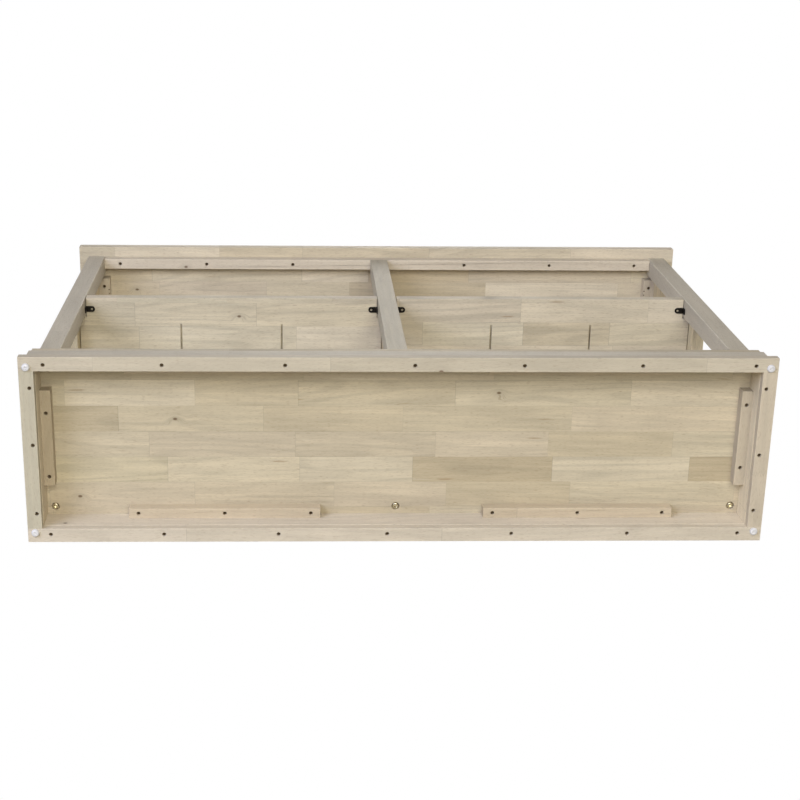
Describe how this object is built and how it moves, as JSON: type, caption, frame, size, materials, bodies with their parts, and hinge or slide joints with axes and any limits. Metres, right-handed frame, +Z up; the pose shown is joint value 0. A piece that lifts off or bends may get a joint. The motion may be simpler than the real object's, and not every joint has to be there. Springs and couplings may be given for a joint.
{
  "type": "low open shelf unit",
  "caption": "Low open two-bay shelf unit of pale unfinished finger-jointed wood: square posts on a framed base, solid top, and a loose lift-off shelf on clips in each bay.",
  "frame": {"origin": "middle of the footprint on the floor, at the bottom of the glides", "axes": "+X along the length, towards the right-hand end seen from the open front; +Y from the front to the back; +Z up"},
  "size_m": [1.219, 0.3204, 0.762],
  "materials": {
    "board_wood": "bare sanded finger-jointed hardwood, staves in pale cream, straw and pinkish tan",
    "strip_wood": "bare sanded straight-grained hardwood, pale cream to greyish straw",
    "clip_steel": "black oxide, satin",
    "bolt_brass": "yellow zinc plating, semi-gloss",
    "glide_plastic": "white moulded plastic, satin",
    "screw_steel": "black phosphate"
  },
  "bodies": {
    "frame": {"base_cleat_front_left": "strip_wood", "base_cleat_front_right": "strip_wood", "base_cleat_left": "strip_wood", "base_cleat_rear_left": "strip_wood", "base_cleat_rear_right": "strip_wood", "base_cleat_right": "strip_wood", "bolt_front_centre": "bolt_brass", "bolt_front_left": "bolt_brass", "bolt_front_right": "bolt_brass", "bolt_rear_centre": "bolt_brass", "bolt_rear_left": "bolt_brass", "bolt_rear_right": "bolt_brass", "bottom_panel": "board_wood", "clip_left_front_inner": "clip_steel", "clip_left_front_outer": "clip_steel", "clip_left_rear_inner": "clip_steel", "clip_left_rear_outer": "clip_steel", "clip_right_front_inner": "clip_steel", "clip_right_front_outer": "clip_steel", "clip_right_rear_inner": "clip_steel", "clip_right_rear_outer": "clip_steel", "divider_board_mid": "board_wood", "divider_board_top": "board_wood", "glide_front_left": "glide_plastic", "glide_front_right": "glide_plastic", "glide_rear_left": "glide_plastic", "glide_rear_right": "glide_plastic", "plinth_front": "strip_wood", "plinth_left": "strip_wood", "plinth_rear": "strip_wood", "plinth_right": "strip_wood", "post_front_centre": "strip_wood", "post_front_left": "strip_wood", "post_front_right": "strip_wood", "post_rear_centre": "strip_wood", "post_rear_left": "strip_wood", "post_rear_right": "strip_wood", "rim_front": "strip_wood", "rim_left": "strip_wood", "rim_rear": "strip_wood", "rim_right": "strip_wood", "side_board_mid_left": "board_wood", "side_board_mid_right": "board_wood", "side_board_top_left": "board_wood", "side_board_top_right": "board_wood", "top_cleat_left": "strip_wood", "top_cleat_right": "strip_wood", "top_panel": "board_wood", "top_rail_front": "strip_wood", "top_rail_rear": "strip_wood"},
    "shelf_left": {"shelf_left": "board_wood"},
    "shelf_right": {"shelf_right": "board_wood"}
  },
  "joints": [
    {"name": "shelf_left_lift", "type": "slide", "parent": "frame", "child": "shelf_left", "axis": [0, 0, 1], "range_m": [0, 0.27]},
    {"name": "shelf_right_lift", "type": "slide", "parent": "frame", "child": "shelf_right", "axis": [0, 0, 1], "range_m": [0, 0.27]}
  ]
}
